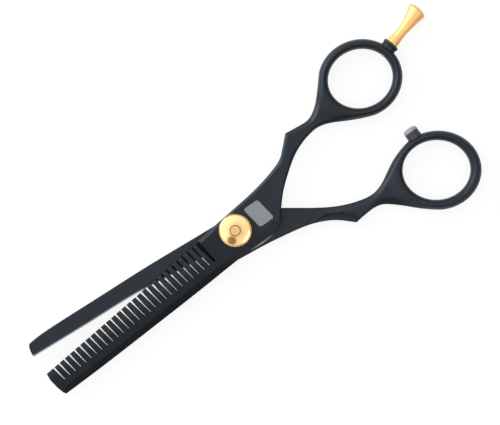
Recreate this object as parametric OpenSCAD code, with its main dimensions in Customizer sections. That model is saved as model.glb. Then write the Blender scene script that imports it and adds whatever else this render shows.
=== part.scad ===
/* [Blades] */
// Distance from the pivot axis to the blade tips
blade_reach = 76.6; // [60:0.1:95]
// Thickness of each half at the pivot
blade_thick = 2.8; // [2.2:0.1:3.6]
// Thickness of each blade at its tip
tip_thick = 1.8; // [1.2:0.1:2.2]
// Gap between the two inner faces
ride_gap = 0.1; // [0.05:0.05:0.3]
// Width of the bevel along the comb blade's spine, at the pivot
spine_bevel_w = 2.6; // [1:0.1:3.5]
// Height of the wall that the spine bevel leaves
spine_wall_h = 1.1; // [0.6:0.1:1.6]
// Width of the bevel behind the plain blade's cutting edge
edge_bevel_w = 3.4; // [1.6:0.1:3.6]
// Height of the wall that the cutting edge keeps
edge_wall_h = 0.35; // [0.2:0.05:0.6]

/* [Comb teeth] */
// Number of slots in the comb blade
slot_count = 29; // [20:1:32]
// Distance from the blade's end to the middle of its first slot
end_tooth_w = 3; // [2:0.05:4]
// Slot width at the tooth tips
slot_mouth_w = 0.7; // [0.4:0.05:0.9]
// Slot width at its root
slot_root_w = 0.3; // [0.2:0.05:0.6]
// Width of the relief slot next to the pivot
relief_slot_w = 1.3; // [0.8:0.1:1.4]
// Slot length at the blade tip
slot_len_tip = 5.1; // [3:0.1:6]
// Slot length next to the pivot
slot_len_heel = 8.1; // [5:0.1:8.5]
// Lean of the slots away from square to the tooth tips
slot_lean = 4; // [0:1:8]
// Thickness of a tooth at its tip
tooth_tip_thick = 1.3; // [0.8:0.1:1.6]

/* [Finger ring] */
// Ring centre, along the shears from the pivot
finger_ring_x = 61.7; // [58.5:0.1:72]
// Ring centre, across the shears from the pivot
finger_ring_y = 16.0; // [15:0.1:18]
// Length of the oval finger hole
finger_hole_l = 21.2; // [19:0.1:24]
// Width of the oval finger hole
finger_hole_w = 19.0; // [17:0.1:22]

/* [Thumb ring] */
// Ring centre, along the shears from the pivot
thumb_ring_x = 64.3; // [60.5:0.1:74]
// Ring centre, across the shears from the pivot
thumb_ring_y = -22.5; // [-25:0.1:-21]
// Length of the oval thumb hole
thumb_hole_l = 22.0; // [19:0.1:25]
// Width of the oval thumb hole
thumb_hole_w = 19.3; // [17:0.1:22]

/* [Rings and shanks] */
// Width of the ring's band, seen from above
ring_band = 3.2; // [2.8:0.1:4]
// Thickness of the rings
ring_thick = 6; // [5.9:0.1:6.6]
// Thickness of the web between shank and ring
web_thick = 3.8; // [3:0.1:4.4]

/* [Pivot] */
// Diameter of the pivot post
post_d = 4.4; // [3.6:0.1:5]
// Distance across the post's two flats
post_flat_w = 3.5; // [3:0.1:3.6]
// Diameter of the post's thread
post_thread_d = 3.2; // [2.6:0.1:3.4]
// Diameter of the post's head
post_head_d = 8; // [6.6:0.1:9]
// Height of the post's head
post_head_h = 0.9; // [0.7:0.1:1.5]
// Wall of the nylon bush in the comb half
bush_wall = 0.6; // [0.4:0.1:0.9]
// Diameter of the bush's flange
bush_flange_d = 7.8; // [7:0.1:8.6]
// Height of the bush's flange
bush_flange_h = 0.4; // [0.3:0.05:0.5]
// Outer diameter of the glide washer between the halves
glide_washer_d = 9; // [7:0.1:10]
// How deep the glide washer sits in each half
glide_seat_h = 0.2; // [0.1:0.05:0.3]
// Running clearance on a radius
run_clear = 0.03; // [0.02:0.01:0.05]

/* [Tension dial] */
// Diameter of the dial over its knurl
dial_d = 10.9; // [10:0.1:13]
// Height of the dial
dial_h = 2.55; // [2.3:0.05:3.5]
// Number of ridges in the knurl
knurl_count = 52; // [48:2:90]
// Depth of the knurl
knurl_depth = 0.22; // [0.1:0.02:0.3]
// Thickness of the wave spring's strip
spring_strip = 0.25; // [0.15:0.05:0.3]
// Height of the wave spring as fitted
spring_h = 0.6; // [0.5:0.05:0.8]
// Thickness of the click plate
click_plate_h = 0.4; // [0.3:0.05:0.5]
// Gap between the click plate and the dial's ceiling
click_gap = 0.12; // [0.11:0.01:0.2]

/* [Finger rest] */
// Direction of the finger rest from the shears' length
rest_angle = 13; // [8:1:20]
// Length of the finger rest from its washer to the edge of its end
rest_l = 13.2; // [10:0.1:18]
// Diameter of the finger rest where it meets its washer
rest_base_d = 4.2; // [3.6:0.1:4.6]
// Diameter of the finger rest's waist
rest_waist_d = 3.3; // [2.7:0.1:3.5]
// Diameter of the finger rest's flared end
rest_end_d = 6.4; // [4.6:0.1:7]
// How far the finger rest's end bulges
rest_dome = 1.3; // [0.4:0.1:2]
// Diameter of the finger rest's thread
rest_thread_d = 2.5; // [2:0.1:2.6]
// Diameter of the finger rest's washer
rest_washer_d = 5.5; // [4.6:0.1:5.6]
// Thickness of the finger rest's washer
rest_washer_h = 1; // [0.8:0.1:1.5]

/* [Bumper] */
// Diameter of the bumper
bumper_d = 4.9; // [4:0.1:5]
// Height of the bumper over its seat
bumper_h = 4.1; // [3:0.1:4.2]
// Radius of the bumper's rounded top edge
bumper_round = 1.2; // [0.6:0.1:1.6]
// Diameter of the pin that holds the bumper
bumper_pin_d = 1.8; // [1.4:0.1:2.2]
// Length of that pin
bumper_pin_l = 4; // [3:0.1:5]

/* [Hidden] */

eps = 0.01;

// Heights above the surface that the shears lie on.
plain_z0 = post_head_h;
plain_z1 = plain_z0 + blade_thick;
comb_z0 = plain_z1 + ride_gap;
comb_z1 = comb_z0 + blade_thick;
ring_mid_z = ring_thick / 2;
web_z0 = ring_mid_z - web_thick / 2;
web_z1 = ring_mid_z + web_thick / 2;
spring_z0 = comb_z1 + bush_flange_h + eps;
click_z0 = spring_z0 + spring_h + eps;
click_z1 = click_z0 + click_plate_h;
ceiling_z = click_z1 + click_gap;
dial_z0 = comb_z1 + 0.35;
dial_z1 = dial_z0 + dial_h;
key_z1 = click_z1 + 0.35;
key_room = 0.6;
post_z1 = dial_z1 + 0.05;

finger_ring = [finger_ring_x, finger_ring_y];
finger_hole = [finger_hole_l, finger_hole_w] / 2;
finger_turn = -17;
thumb_ring = [thumb_ring_x, thumb_ring_y];
thumb_hole = [thumb_hole_l, thumb_hole_w] / 2;
thumb_turn = -33;
// The thumb hole sits off centre in its ring, so that the band is widest away from the fingers.
thumb_rim_shift = [0.25, -0.3];

// Where the shanks leave the flat round the pivot, and where they reach the rings' level.
shank_x0 = 18.5;
shank_x1 = finger_ring_x - 19.7;

// The line of the tooth tips, and the direction of the slots.
tooth_tip = [-blade_reach, -1.7];
tooth_heel = [-12.4, 3.85];
tooth_slope = atan2(tooth_heel[1] - tooth_tip[1], tooth_heel[0] - tooth_tip[0]);
slot_pitch = ((tooth_heel[0] - tooth_tip[0]) / cos(tooth_slope) - end_tooth_w) / (slot_count - 1);

// Where the plain blade's cutting edge ends, next to the pivot.
edge_heel_x = -13.6;

// Outline points are [x, y], or [x, y, 1] at a corner. x grows towards the rings.
comb_spine = [
    [-blade_reach + 1.4, -10.6], [-0.78 * blade_reach, -10.35], [-0.52 * blade_reach, -9.7],
    [-0.26 * blade_reach, -8.95], [-5, -8.2], [4, -8.05], [8.5, -7.85], [12.9, -6.85, 1], [16.2, -2.95],
    [20, 1.1], [25, 5.1], [30, 8.4], [35, 10.4],
    finger_ring + [-21.6, -4.7], finger_ring + [-18.6, -5.1], finger_ring + [-15.6, -6.3],
    finger_ring + [-11.6, -8.5], finger_ring + [-7.6, -10.6]];
comb_top_edge = [
    [tooth_heel[0] + 0.2, 4.4], [-4, 5.2], [4, 5.95], [10, 6.55], [15, 7.3], [20, 8.4], [25, 10.15],
    [28, 12.6], [31.5, 15.9, 1], [36, 15.35], finger_ring + [-22.1, -0.9], finger_ring + [-19.6, -0.1],
    finger_ring + [-16.6, 2], finger_ring + [-13.6, 5.1], finger_ring + [-10.6, 8.2],
    finger_ring + [-8, 10.2]];
plain_spine = [
    [-blade_reach + 1, 9.5], [-0.94 * blade_reach, 9.75], [-0.86 * blade_reach, 9.6],
    [-0.65 * blade_reach, 8.6], [-0.39 * blade_reach, 7.35], [-10, 5.6], [-4, 5.1], [3, 4.4],
    [10, 1.6], [16.4, -2.9], [20, -5.5], [25, -9.1], [30, -12.3], [35, -14.7],
    thumb_ring + [-24.3, 6.25], thumb_ring + [-20.8, 5.9], thumb_ring + [-17.3, 6.8],
    thumb_ring + [-13.3, 8.9], thumb_ring + [-9.3, 11], thumb_ring + [-6, 12.1]];
plain_edge = [
    [-blade_reach - 0.4, 5.3], [-0.74 * blade_reach, 3.65], [-0.5 * blade_reach, 2.3],
    [-0.34 * blade_reach, 0.6], [edge_heel_x, -0.9, 1],
    [edge_heel_x + 1, -4.6, 1], [-8, -6.9], [-4.5, -8.3, 1], [5, -9.5], [13, -10.9], [20, -12.5],
    [25, -14.5], [29, -17], [33.3, -21, 1], [37, -20.65], thumb_ring + [-23.3, 1.9], thumb_ring + [-20.3, 1],
    thumb_ring + [-16.3, -2.3], thumb_ring + [-11.3, -7.3], thumb_ring + [-7.3, -10.7]];

// Slope of the curve at point i, for the stretch that starts at point j.
function is_end(p, i) = i == 0 || i == len(p) - 1 || p[i][2] == 1;
function chord(p, a, b) = (p[b][1] - p[a][1]) / (p[b][0] - p[a][0]);
function slope_at(p, i, j) = is_end(p, i) ? chord(p, j, j + 1) : chord(p, i - 1, i + 1);

// Height of the smooth curve through the points p, at x.
function curve_y(p, x, j = 0) =
    j < len(p) - 2 && x > p[j + 1][0] ? curve_y(p, x, j + 1)
    : let (w = p[j + 1][0] - p[j][0], t = (x - p[j][0]) / w)
      (2 * t^3 - 3 * t^2 + 1) * p[j][1] + (3 * t^2 - 2 * t^3) * p[j + 1][1]
      + w * ((t^3 - 2 * t^2 + t) * slope_at(p, j, j) + (t^3 - t^2) * slope_at(p, j + 1, j));

// Points along the curve p from x0 to x1, no further apart than step, with every given point kept.
function curve_points(p, x0, x1, step = 1.5) = [
    for (j = [0 : len(p) - 2])
        let (a = max(p[j][0], x0), b = min(p[j + 1][0], x1), n = max(1, ceil((b - a) / step)))
        if (b > a) for (k = [0 : n - 1]) let (x = a + (b - a) * k / n) [x, curve_y(p, x)],
    [x1, curve_y(p, x1)]];

function reversed(p) = [for (i = [len(p) - 1 : -1 : 0]) p[i]];
function last(p) = p[len(p) - 1];
function ease(t) = let (c = min(1, max(0, t))) c * c * (3 - 2 * c);

// A point of the oval with these half axes, turned and moved.
function oval_point(centre, half, turn, a) =
    let (u = half[0] * cos(a), v = half[1] * sin(a))
    centre + [u * cos(turn) - v * sin(turn), u * sin(turn) + v * cos(turn)];

module oval(centre, half, turn) {
    polygon([for (a = [0 : 6 : 354]) oval_point(centre, half, turn, a)]);
}

// A ring with a rounded section between an oval hole and an oval rim.
module ring_tube(hole_c, hole, rim_c, rim, turn) {
    around = 60;
    section = 12;
    fullness = 0.8;
    round_cos = function(b) sign(cos(b)) * abs(cos(b))^fullness;
    round_sin = function(b) sign(sin(b)) * abs(sin(b))^fullness;
    points = [for (i = [0 : around - 1], j = [0 : section - 1])
        let (a = i * 360 / around, b = j * 360 / section,
             inner = oval_point(hole_c, hole, turn, a), outer = oval_point(rim_c, rim, turn, a),
             p = (inner + outer) / 2 + (outer - inner) / 2 * round_cos(b))
        [p[0], p[1], ring_mid_z + ring_mid_z * round_sin(b)]];
    faces = [for (i = [0 : around - 1], j = [0 : section - 1])
        let (i2 = (i + 1) % around, j2 = (j + 1) % section)
        [i * section + j, i * section + j2, i2 * section + j2, i2 * section + j]];
    polyhedron(points, faces);
}

// The plate that a plan outline and a side outline have in common. side holds [x, z] points.
module plate(plan, side) {
    intersection() {
        linear_extrude(comb_z1 + 1) polygon(plan);
        translate([0, 60, 0]) rotate([90, 0, 0]) linear_extrude(120) polygon(side);
    }
}

// One face seen from the side: its height at the tip, at the pivot and at the ring, which ends at x_end.
function face_line(tip_z, ride_z, web_z, x_end) = [
    [-blade_reach - 2, tip_z],
    [-10, ride_z],
    for (k = [0 : 12])
        let (t = k / 12)
        [shank_x0 + (shank_x1 - shank_x0) * t, ride_z + (web_z - ride_z) * ease(t)],
    [x_end, web_z]];

// The hole of a ring's web: it ends in the middle of the band.
module web_opening(centre, hole, turn) {
    translate([0, 0, -1]) linear_extrude(comb_z1 + 2) oval(centre, hole + [1, 1] * ring_band / 2, turn);
}

// Where the finger rest screws in, as a frame with Z along the rest.
rest_seat_r = finger_hole[0] + ring_band + 0.4;
rest_offset = -0.3;
module at_rest() {
    translate([finger_ring[0], finger_ring[1], ring_mid_z])
        rotate([0, 0, rest_angle])
            translate([0, rest_offset, 0]) rotate([0, 90, 0]) children();
}

// Where the bumper sits, as a frame with Z along the bumper.
bumper_x = thumb_ring_x + 0.5;
bumper_seat_y = thumb_ring_y + thumb_hole[1] + ring_band - 0.6;
module at_bumper() {
    translate([bumper_x, bumper_seat_y, ring_mid_z]) rotate([-90, 0, 0]) children();
}

module comb_slots() {
    for (i = [0 : slot_count - 1])
        let (from_tip = end_tooth_w + i * slot_pitch,
             share = i / (slot_count - 1),
             mouth = i == slot_count - 1 ? relief_slot_w : slot_mouth_w,
             root = i == slot_count - 1 ? relief_slot_w - 0.2 : slot_root_w,
             length = slot_len_tip + (slot_len_heel - slot_len_tip) * share)
        translate([tooth_tip[0], tooth_tip[1], comb_z0 - 1]) rotate([0, 0, tooth_slope])
            translate([from_tip, 0, 0]) rotate([0, 0, slot_lean])
                linear_extrude(blade_thick + 2)
                    polygon([[-mouth / 2, 1], [-root / 2, -length], [root / 2, -length], [mouth / 2, 1]]);
}

// A wedge that runs along X from x0 to x1 and slopes up from [0, low] to [width, high].
module bevel_cutter(x0, x1, width, low, high) {
    slope = (high - low) / width;
    translate([x0, 0, 0]) rotate([90, 0, 90]) linear_extrude(x1 - x0)
        polygon([[-2, low - 2 * slope], [width + 1, high + slope], [-2, high + slope + 4]]);
}

module comb_half() {
    plan = concat(
        [tooth_tip, tooth_tip + [-0.15, -2.3], tooth_tip + [0.3, -5.6], tooth_tip + [0.9, -8]],
        curve_points(comb_spine, comb_spine[0][0], last(comb_spine)[0]),
        [finger_ring],
        reversed(curve_points(comb_top_edge, comb_top_edge[0][0], last(comb_top_edge)[0])),
        [tooth_heel]);
    side = concat(
        face_line(comb_z0, comb_z0, web_z0, finger_ring_x),
        reversed(face_line(comb_z0 + tip_thick, comb_z1, web_z1, finger_ring_x)));
    rim = finger_hole + [1, 1] * ring_band;
    color([0.13, 0.15, 0.17]) difference() {
        union() {
            difference() {
                plate(plan, side);
                web_opening(finger_ring, finger_hole, finger_turn);
            }
            ring_tube(finger_ring, finger_hole, finger_ring, rim, finger_turn);
            at_rest() translate([0, 0, finger_hole[0] + 1])
                cylinder(d = rest_washer_d - 0.4, h = rest_seat_r - finger_hole[0] - 1, $fn = 48);
        }
        comb_slots();
        // Spine bevel.
        translate([0, -8.2, 0]) rotate([0, 0, 1.8])
            bevel_cutter(-blade_reach - 2, 24, spine_bevel_w, comb_z0 + spine_wall_h, comb_z1);
        // Teeth thin down towards their tips.
        translate([tooth_heel[0], tooth_heel[1], 0]) rotate([0, 0, tooth_slope]) mirror([0, 1, 0])
            bevel_cutter(-blade_reach, 0.6, 6, comb_z0 + tooth_tip_thick, comb_z1);
        // Seat of the bush, and of the glide washer.
        translate([0, 0, comb_z0 - 1])
            cylinder(d = post_d + 2 * bush_wall + 2 * eps, h = blade_thick + 2, $fn = 64);
        translate([0, 0, comb_z0 - 1]) cylinder(d = glide_washer_d + 0.1, h = 1 + glide_seat_h, $fn = 64);
        // Threaded hole of the finger rest.
        at_rest() translate([0, 0, finger_hole[0] - 2])
            cylinder(d = rest_thread_d + 2 * eps, h = ring_band + 5, $fn = 48);
    }
}

module plain_half() {
    plan = concat(
        [[-blade_reach - 0.4, 5.4], [-blade_reach - 0.1, 7.4], [-blade_reach + 0.4, 8.8]],
        curve_points(plain_spine, plain_spine[0][0], last(plain_spine)[0]),
        [thumb_ring],
        reversed(curve_points(plain_edge, plain_edge[0][0], last(plain_edge)[0])));
    side = concat(
        face_line(plain_z1 - tip_thick, plain_z0, web_z0, thumb_ring_x),
        reversed(face_line(plain_z1, plain_z1, web_z1, thumb_ring_x)));
    rim = thumb_hole + [1, 1] * ring_band;
    color([0.13, 0.15, 0.17]) difference() {
        union() {
            difference() {
                plate(plan, side);
                web_opening(thumb_ring, thumb_hole, thumb_turn);
            }
            ring_tube(thumb_ring, thumb_hole, thumb_ring + thumb_rim_shift, rim, thumb_turn);
            at_bumper() translate([0, 0, -1.8]) cylinder(d = bumper_d - 0.3, h = 1.8, $fn = 48);
        }
        // Outer bevel behind the cutting edge, and the spine bevel, both on the underside.
        translate([-blade_reach, 5.2, plain_z1]) rotate([0, 0, -4.8]) mirror([0, 0, 1])
            bevel_cutter(-4, blade_reach + edge_heel_x - 0.2, edge_bevel_w, edge_wall_h, blade_thick);
        translate([-10, 5.6, plain_z1]) rotate([0, 0, -4]) mirror([0, 1, 0]) mirror([0, 0, 1])
            bevel_cutter(-blade_reach, 4, spine_bevel_w, spine_wall_h, blade_thick);
        // Keyed hole of the post, and the seat of the glide washer.
        translate([0, 0, -1]) linear_extrude(blade_thick + 4) keyed_section(eps);
        translate([0, 0, plain_z1 - glide_seat_h]) cylinder(d = glide_washer_d + 0.1, h = 2, $fn = 64);
        // Flat seat of the bumper, and the hole of its pin.
        at_bumper() cylinder(d = bumper_d + 0.1, h = bumper_h, $fn = 48);
        at_bumper() translate([0, 0, -bumper_pin_l / 2])
            cylinder(d = bumper_pin_d + 2 * eps, h = bumper_pin_l, $fn = 48);
    }
}

// Section of the post where it is keyed: a circle with two flats, grown by grow.
module keyed_section(grow) {
    intersection() {
        circle(d = post_d + 2 * grow, $fn = 64);
        square([post_d + 2, post_flat_w + 2 * grow], center = true);
    }
}

module pivot_post() {
    spanner_r = 2.6;
    color([0.85, 0.62, 0.27]) difference() {
        union() {
            cylinder(d = post_head_d, h = post_head_h, $fn = 64);
            linear_extrude(plain_z1) keyed_section(0);
            translate([0, 0, plain_z1 - glide_seat_h])
                cylinder(d = post_d, h = comb_z1 + bush_flange_h - plain_z1 + glide_seat_h, $fn = 64);
            linear_extrude(key_z1) keyed_section(0);
            cylinder(d = post_thread_d, h = post_z1, $fn = 64);
        }
        for (s = [-1, 1]) translate([s * spanner_r, 0, -1]) cylinder(d = 1, h = 1.5, $fn = 32);
    }
}

module pivot_bush() {
    color([0.9, 0.9, 0.86]) difference() {
        union() {
            translate([0, 0, comb_z0 + glide_seat_h + 0.05])
                cylinder(d = post_d + 2 * bush_wall, h = blade_thick - glide_seat_h - 0.05, $fn = 64);
            translate([0, 0, comb_z1]) cylinder(d = bush_flange_d, h = bush_flange_h, $fn = 64);
        }
        cylinder(d = post_d + 2 * run_clear, h = comb_z1 + 2, $fn = 64);
    }
}

module glide_washer() {
    h = ride_gap + 2 * glide_seat_h - 2 * eps;
    color([0.93, 0.93, 0.9]) translate([0, 0, plain_z1 - glide_seat_h + eps]) difference() {
        cylinder(d = glide_washer_d, h = h, $fn = 64);
        translate([0, 0, -1]) cylinder(d = post_d + 0.2, h = h + 2, $fn = 64);
    }
}

// A flat ring bent into three waves.
module spring_washer() {
    around = 48;
    inner = post_d / 2 + 0.3;
    outer = bush_flange_d / 2 - 0.1;
    points = [for (i = [0 : around - 1])
        let (a = i * 360 / around, z = spring_z0 + (spring_h - spring_strip) * (1 + cos(3 * a)) / 2)
        for (p = [[inner, 0], [outer, 0], [outer, spring_strip], [inner, spring_strip]])
            [p[0] * cos(a), p[0] * sin(a), z + p[1]]];
    faces = [for (i = [0 : around - 1], j = [0 : 3])
        let (i2 = (i + 1) % around, j2 = (j + 1) % 4) [i * 4 + j, i * 4 + j2, i2 * 4 + j2, i2 * 4 + j]];
    color([0.75, 0.76, 0.78]) polyhedron(points, faces);
}

module click_plate() {
    bump_r = 0.5;
    bump_h = 0.08;
    color([0.72, 0.73, 0.75]) difference() {
        union() {
            translate([0, 0, click_z0]) cylinder(d = bush_flange_d + 0.4, h = click_plate_h, $fn = 64);
            for (a = [30 : 60 : 330]) rotate([0, 0, a])
                translate([3.2, 0, click_z1 + bump_h - bump_r]) intersection() {
                    sphere(r = bump_r, $fn = 24);
                    translate([-1, -1, 0]) cube(2);
                }
        }
        translate([0, 0, click_z0 - 1]) linear_extrude(3) keyed_section(run_clear);
    }
}

module tension_dial() {
    r = dial_d / 2;
    core_r = r - knurl_depth - 0.05;
    chamfer = 0.3;
    knurl = [for (i = [0 : 2 * knurl_count - 1])
        let (a = i * 180 / knurl_count, ri = i % 2 == 0 ? r : r - knurl_depth) [ri * cos(a), ri * sin(a)]];
    color([0.93, 0.72, 0.35]) translate([0, 0, dial_z0]) difference() {
        union() {
            translate([0, 0, chamfer]) linear_extrude(dial_h - 2 * chamfer) polygon(knurl);
            rotate_extrude($fn = 72)
                polygon([[0, 0], [core_r - chamfer, 0], [core_r, chamfer], [core_r, dial_h - chamfer],
                         [core_r - chamfer, dial_h], [0, dial_h]]);
        }
        translate([0, 0, -1]) cylinder(d = bush_flange_d + 1, h = 1 + ceiling_z - dial_z0, $fn = 64);
        translate([0, 0, ceiling_z - dial_z0 - 0.1]) cylinder(d = post_d + 0.1, h = key_room + 0.1, $fn = 64);
        cylinder(d = post_thread_d + 2 * run_clear, h = dial_h + 1, $fn = 64);
    }
}

// Radius of the finger rest at t, from 0 at its washer to 1 at its end.
function rest_r(t) =
    let (base = rest_base_d / 2, waist = rest_waist_d / 2, end = rest_end_d / 2, dip = 0.33)
    t < dip ? waist + (base - waist) * (1 - t / dip)^2 : waist + (end - waist) * ((t - dip) / (1 - dip))^1.8;

module finger_rest() {
    around = 32;
    stem_rows = 20;
    dome_rows = 6;
    along = stem_rows + dome_rows;
    bow = 0.8;
    // A little flatter than round, so that it lies no lower than the rings.
    squeeze = min(1, ring_thick / rest_end_d);
    // Radius and height of each row: the stem, then the dome.
    rows = concat(
        [for (i = [0 : stem_rows]) [rest_r(i / stem_rows), i / stem_rows * rest_l]],
        [for (i = [1 : dome_rows]) let (b = i * 80 / dome_rows)
            [rest_end_d / 2 * cos(b), rest_l + rest_dome * sin(b)]]);
    points = [for (row = rows, j = [0 : around - 1])
        let (a = j * 360 / around)
        [row[0] * squeeze * cos(a), row[0] * sin(a) + bow * (row[1] / rest_l)^2, row[1]]];
    faces = concat(
        [[for (j = [0 : around - 1]) j]],
        [for (i = [0 : along - 1], j = [0 : around - 1])
            let (j2 = (j + 1) % around)
            [i * around + j, (i + 1) * around + j, (i + 1) * around + j2, i * around + j2]],
        [[for (j = [around - 1 : -1 : 0]) along * around + j]]);
    color([0.95, 0.72, 0.36]) at_rest() union() {
        translate([0, 0, rest_seat_r + rest_washer_h + eps]) polyhedron(points, faces);
        translate([0, 0, finger_hole[0] - 0.2])
            cylinder(d = rest_thread_d, h = rest_seat_r + rest_washer_h + 1 - finger_hole[0], $fn = 48);
    }
}

module rest_washer() {
    color([0.05, 0.05, 0.06]) at_rest() translate([0, 0, rest_seat_r + eps / 2]) difference() {
        cylinder(d = rest_washer_d, h = rest_washer_h, $fn = 64);
        translate([0, 0, -1]) cylinder(d = rest_thread_d + 0.1, h = rest_washer_h + 2, $fn = 48);
    }
}

module bumper() {
    color([0.45, 0.45, 0.5]) at_bumper() difference() {
        rotate_extrude($fn = 64) intersection() {
            square([bumper_d / 2, bumper_h]);
            union() {
                square([bumper_d / 2, bumper_h - bumper_round]);
                square([bumper_d / 2 - bumper_round, bumper_h]);
                translate([bumper_d / 2 - bumper_round, bumper_h - bumper_round])
                    circle(r = bumper_round, $fn = 48);
            }
        }
        translate([0, 0, -1]) cylinder(d = bumper_pin_d + 2 * eps, h = 1 + bumper_pin_l / 2, $fn = 48);
    }
}

module bumper_pin() {
    color([0.7, 0.71, 0.73]) at_bumper()
        translate([0, 0, -bumper_pin_l / 2 + eps])
            cylinder(d = bumper_pin_d, h = bumper_pin_l - 2 * eps, $fn = 48);
}

comb_half();
plain_half();
pivot_post();
pivot_bush();
glide_washer();
spring_washer();
click_plate();
tension_dial();
finger_rest();
rest_washer();
bumper();
bumper_pin();
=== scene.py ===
import math

import bpy
import numpy as np
from mathutils import Matrix, Vector
from mathutils.geometry import delaunay_2d_cdt


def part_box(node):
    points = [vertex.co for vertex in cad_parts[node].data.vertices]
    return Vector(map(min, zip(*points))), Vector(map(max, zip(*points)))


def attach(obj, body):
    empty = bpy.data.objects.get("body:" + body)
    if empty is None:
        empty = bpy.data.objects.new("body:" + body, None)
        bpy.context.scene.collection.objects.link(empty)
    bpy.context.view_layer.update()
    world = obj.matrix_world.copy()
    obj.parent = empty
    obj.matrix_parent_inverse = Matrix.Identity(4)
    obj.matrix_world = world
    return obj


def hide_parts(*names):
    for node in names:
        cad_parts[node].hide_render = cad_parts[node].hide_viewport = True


# Lengths are in millimetres until a mesh is made. x runs from the pivot to the rings, z up.
MM = 0.001

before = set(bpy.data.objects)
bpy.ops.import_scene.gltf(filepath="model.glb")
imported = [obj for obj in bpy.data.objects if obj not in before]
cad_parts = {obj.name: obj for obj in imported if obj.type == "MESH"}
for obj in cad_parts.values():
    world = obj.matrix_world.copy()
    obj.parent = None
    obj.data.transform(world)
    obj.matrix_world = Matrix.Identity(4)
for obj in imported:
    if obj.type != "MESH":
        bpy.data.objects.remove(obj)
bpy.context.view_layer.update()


def cad_span(node):
    """The lowest and highest corner of a CAD node, in millimetres."""
    low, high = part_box(node)
    return np.array(low) / MM, np.array(high) / MM


# ---------------------------------------------------------------- sizes

plain_high = cad_span("plain_half")[1]
dial_low, dial_high = cad_span("tension_dial")
glide_low, glide_high = cad_span("glide_washer")

HEAD_H = 0.9
BLADE_THICK = 2.8
RIDE_GAP = 0.1
TIP_THICK = 1.8
TOOTH_TIP_THICK = 1.3
PLAIN_Z0 = HEAD_H
PLAIN_Z1 = PLAIN_Z0 + BLADE_THICK
COMB_Z0 = PLAIN_Z1 + RIDE_GAP
COMB_Z1 = COMB_Z0 + BLADE_THICK
RING_TOP = plain_high[2]
WEB_LOW, WEB_TOP = 1.1, 4.9
SHANK_X0, SHANK_X1 = 18.5, 42.0
BLADE_REACH = 76.6
GLIDE_R = (glide_high[0] - glide_low[0]) / 2 + 0.04

FINGER_RING = np.array([61.7, 16.0])
FINGER_HOLE = np.array([10.6, 9.5])
FINGER_TURN = math.radians(-17)
THUMB_RING = np.array([64.3, -22.5])
THUMB_HOLE = np.array([11.0, 9.65])
THUMB_TURN = math.radians(-33)
THUMB_RIM_SHIFT = np.array([0.25, -0.3])
RING_BAND = 3.2

TOOTH_TIP = np.array([-BLADE_REACH, -1.7])
TOOTH_HEEL = np.array([-12.4, 3.85])
SLOT_COUNT = 29
SLOT_LEAN = math.radians(4)
END_TOOTH_W = 3.0
SLOT_MOUTH_W, SLOT_ROOT_W, RELIEF_SLOT_W = 0.72, 0.32, 1.55
SLOT_HEEL_SHARE, SLOT_FLARE = 0.5, 1.3
SLOT_LEN_TIP, SLOT_LEN_HEEL = 5.1, 8.1
FLARE_AT_TIP, FLARE_LEN_SHARE = 0.9, 0.52
CUTTER_H, FLARE_CUTTER_H = 20.0, 21.0
MOUTH_REACH = 1.0

HONED_W, HONED_END_X = 0.42, -13.9
PATCH_X, PATCH_SHEAR, PATCH_CORNER = 9.35, 0.14, 0.8
PATCH_HALF = (2.76, 3.88)
DIAL_GAP_R = 1.63
KNURL_RIDGES, KNURL_DEPTH = 52, 0.4


# ---------------------------------------------------------------- outlines of the two halves
# A point is (x, y), or (x, y, 1) at a corner.

COMB_SPINE = [
    (-75.2, -10.6), (-59.7, -10.35), (-39.8, -9.7), (-19.9, -8.95), (-5, -8.2), (4, -8.05),
    (8.5, -7.85), (12.9, -6.85, 1), (16.2, -2.95), (20, 1.1), (25, 5.1), (30, 8.4), (35, 10.4),
    (40.1, 11.3), (43.1, 10.9), (46.1, 9.7), (50.1, 7.5), (54.1, 5.4)]
COMB_TOP = [
    (-12.2, 4.4), (-4, 5.2), (4, 5.95), (10, 6.55), (15, 7.3), (20, 8.4), (25, 10.15), (28, 12.6),
    (31.5, 15.9, 1), (36, 15.35), (39.6, 15.1), (42.1, 15.9), (45.1, 18), (48.1, 21.1), (51.1, 24.2),
    (53.7, 26.2)]
PLAIN_SPINE = [
    (-75.6, 9.5), (-72, 9.75), (-65.9, 9.6), (-49.8, 8.6), (-29.9, 7.35), (-10, 5.6), (-4, 5.1),
    (3, 4.4), (10, 1.6), (16.4, -2.9), (20, -5.5), (25, -9.1), (30, -12.3), (35, -14.7),
    (40, -16.25), (43.5, -16.6), (47, -15.7), (51, -13.6), (55, -11.5), (58.3, -10.4)]
PLAIN_EDGE = [
    (-77, 5.3), (-56.7, 3.65), (-38.3, 2.3), (-26, 0.6), (-13.6, -0.9, 1), (-12.6, -4.6, 1),
    (-8, -6.9), (-4.5, -8.3, 1), (5, -9.5), (13, -10.9), (20, -12.5), (25, -14.5), (29, -17),
    (33.3, -21, 1), (37, -20.65), (41, -20.6), (44, -21.5), (48, -24.8), (53, -29.8), (57, -33.2)]


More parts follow.
